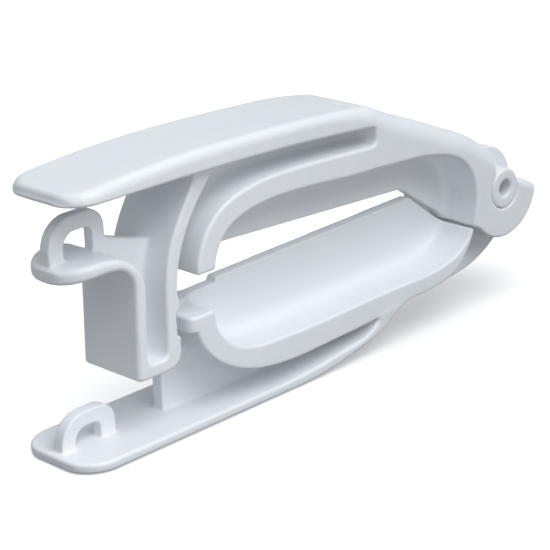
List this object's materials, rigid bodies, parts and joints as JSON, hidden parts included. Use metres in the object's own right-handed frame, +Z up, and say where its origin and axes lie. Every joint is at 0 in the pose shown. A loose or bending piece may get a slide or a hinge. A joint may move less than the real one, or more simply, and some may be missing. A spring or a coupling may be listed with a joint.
{
  "type": "hinged clamp latch",
  "caption": "Palm-size moulded clamp: two long arms on a snap hinge, ridged jaws, and a sprung hook catch that locks over the lip of the lower jaw.",
  "frame": {"origin": "middle of the length, at mid-width, on the surface the lower paddle stands on", "axes": "+X along the arms towards the hinge, +Y across the arms, +Z up from the lower paddle to the upper one"},
  "size_m": [0.1625, 0.026, 0.0676],
  "materials": {
    "upper_moulding": "satin",
    "lower_moulding": "satin"
  },
  "bodies": {
    "lower_arm": {"lower_paddle": "lower_moulding", "lower_trough": "lower_moulding", "lower_web": "lower_moulding", "lower_ridge": "lower_moulding", "lower_eye": "lower_moulding", "hinge_neck": "lower_moulding", "trunnion_near": "lower_moulding", "trunnion_far": "lower_moulding"},
    "upper_arm": {"upper_paddle": "upper_moulding", "upper_jaw": "upper_moulding", "upper_web": "upper_moulding", "upper_ridge": "upper_moulding", "upper_shoulder": "upper_moulding", "ear_near": "upper_moulding", "ear_far": "upper_moulding", "catch_root": "upper_moulding"},
    "catch": {"catch_spring": "upper_moulding", "catch_column": "upper_moulding", "catch_tooth_upper": "upper_moulding", "catch_tooth_lower": "upper_moulding", "catch_tab": "upper_moulding", "catch_eye": "upper_moulding", "catch_gusset": "upper_moulding"}
  },
  "joints": [
    {"name": "clamp_hinge", "type": "hinge", "parent": "lower_arm", "child": "upper_arm", "pos_m": [0.068, 0, 0.0304], "axis": [0, 1, 0], "range_deg": [0, 80]},
    {"name": "catch_flex", "type": "hinge", "parent": "upper_arm", "child": "catch", "pos_m": [-0.0412, 0, 0.0566], "axis": [0, 1, 0], "range_deg": [-2.3, 7], "stiffness_Nm_per_rad": 0.4}
  ]
}
